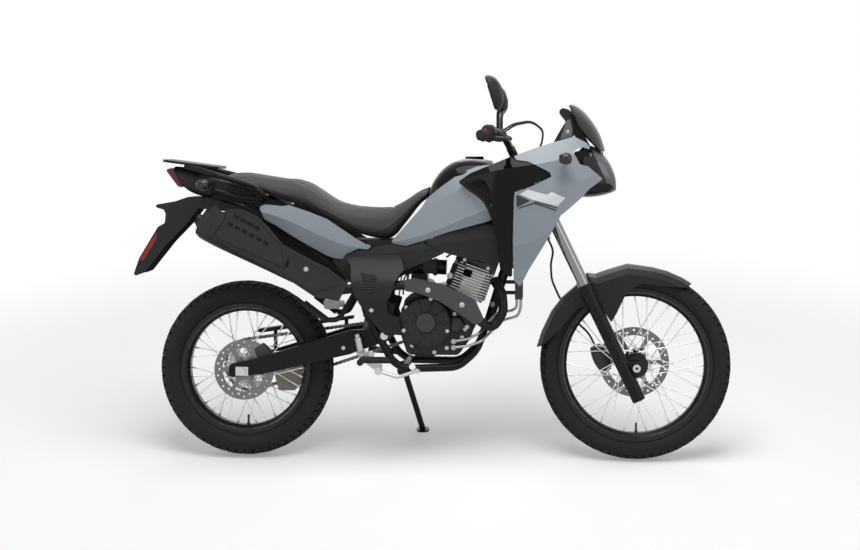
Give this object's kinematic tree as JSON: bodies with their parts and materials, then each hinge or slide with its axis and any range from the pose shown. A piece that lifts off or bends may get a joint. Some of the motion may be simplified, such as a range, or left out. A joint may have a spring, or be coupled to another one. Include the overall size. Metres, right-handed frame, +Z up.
{
  "type": "dual sport motorcycle",
  "caption": "Dual sport motorcycle with wire wheels, finned engine, painted shrouds, long seat and luggage rack, leaning on its side stand.",
  "frame": {"origin": "on the floor, under the middle of the part's box", "axes": "+X is the way the machine faces, +Y is the rider's left, to which it leans on its side stand, +Z is up"},
  "size_m": [2.1767, 0.8826, 1.4305],
  "materials": {
    "body_grey": "satin blue-grey paint",
    "cast_silver": "cast aluminium",
    "chrome": "polished chrome",
    "dark_plastic": "grained dark plastic",
    "engine_black": "black painted alloy",
    "frame_black": "satin black paint on welded steel tube",
    "gloss_black": "gloss black plastic",
    "lens_amber": "amber lens",
    "lens_clear": "clear lens",
    "lens_red": "red lens",
    "lens_smoke": "dark smoked screen",
    "rubber": "black rubber",
    "seat_cover": "dark grey grained cover",
    "steel": "bare steel",
    "tyre": "black tyre rubber"
  },
  "bodies": {
    "chassis": {"main_frame": "frame_black", "pivot_bolt": "steel", "subframe": "frame_black", "swingarm": "frame_black", "rear_axle": "steel", "rear_shock": "steel", "crankcase": "engine_black", "engine_covers": "engine_black", "cylinder": "cast_silver", "exhaust_pipe": "engine_black", "pipe_guard": "dark_plastic", "muffler": "engine_black", "muffler_guard": "dark_plastic", "oil_cooler": "engine_black", "fuel_tank": "gloss_black", "tank_panels": "body_grey", "shroud_vanes": "gloss_black", "shroud_wings": "body_grey", "frame_covers": "dark_plastic", "tail_panels": "body_grey", "seat": "seat_cover", "luggage_rack": "frame_black", "tail_cowl": "dark_plastic", "tail_lamp": "lens_red", "rear_fender": "dark_plastic", "indicators": "lens_amber", "fairing_stay": "frame_black", "headlamp": "lens_clear", "windscreen": "lens_smoke", "instrument_panel": "dark_plastic", "foot_pegs": "rubber", "foot_levers": "steel", "drive_chain": "steel", "chain_guard": "dark_plastic", "rear_caliper": "engine_black", "oil_lines": "steel"},
    "steering": {"fork_tubes": "chrome", "fork_legs": "frame_black", "front_axle": "steel", "triple_clamps": "frame_black", "handlebar": "frame_black", "grips": "rubber", "controls": "dark_plastic", "mirrors": "dark_plastic", "front_fender": "dark_plastic", "front_caliper": "engine_black", "bar_cables": "rubber", "brake_hose": "rubber"},
    "front_wheel": {"front_tyre": "tyre", "front_rim": "frame_black", "front_spokes": "chrome", "front_hub": "frame_black", "front_disc": "steel"},
    "rear_wheel": {"rear_tyre": "tyre", "rear_rim": "frame_black", "rear_spokes": "chrome", "rear_hub": "frame_black", "rear_disc": "steel", "rear_sprocket": "steel"},
    "side_stand": {"side_stand": "frame_black"}
  },
  "joints": [
    {"name": "steering", "type": "hinge", "parent": "chassis", "child": "steering", "pos_m": [0.40891, -0.07401, 0.85951], "axis": [-0.4303, 0.1722, 0.8861], "range_deg": [-40, 40]},
    {"name": "front_wheel_spin", "type": "hinge", "parent": "steering", "child": "front_wheel", "pos_m": [0.74337, -0.17506, 0.33961], "axis": [0, 0.9816, -0.1908], "continuous": true},
    {"name": "rear_wheel_spin", "type": "hinge", "parent": "chassis", "child": "rear_wheel", "pos_m": [-0.68063, -0.17963, 0.31636], "axis": [0, 0.9816, -0.1908], "continuous": true},
    {"name": "stand_fold", "type": "hinge", "parent": "chassis", "child": "side_stand", "pos_m": [-0.11104, -0.05715, 0.27556], "axis": [0.0294, 0.9553, 0.2942], "range_deg": [0, 98.03]}
  ]
}
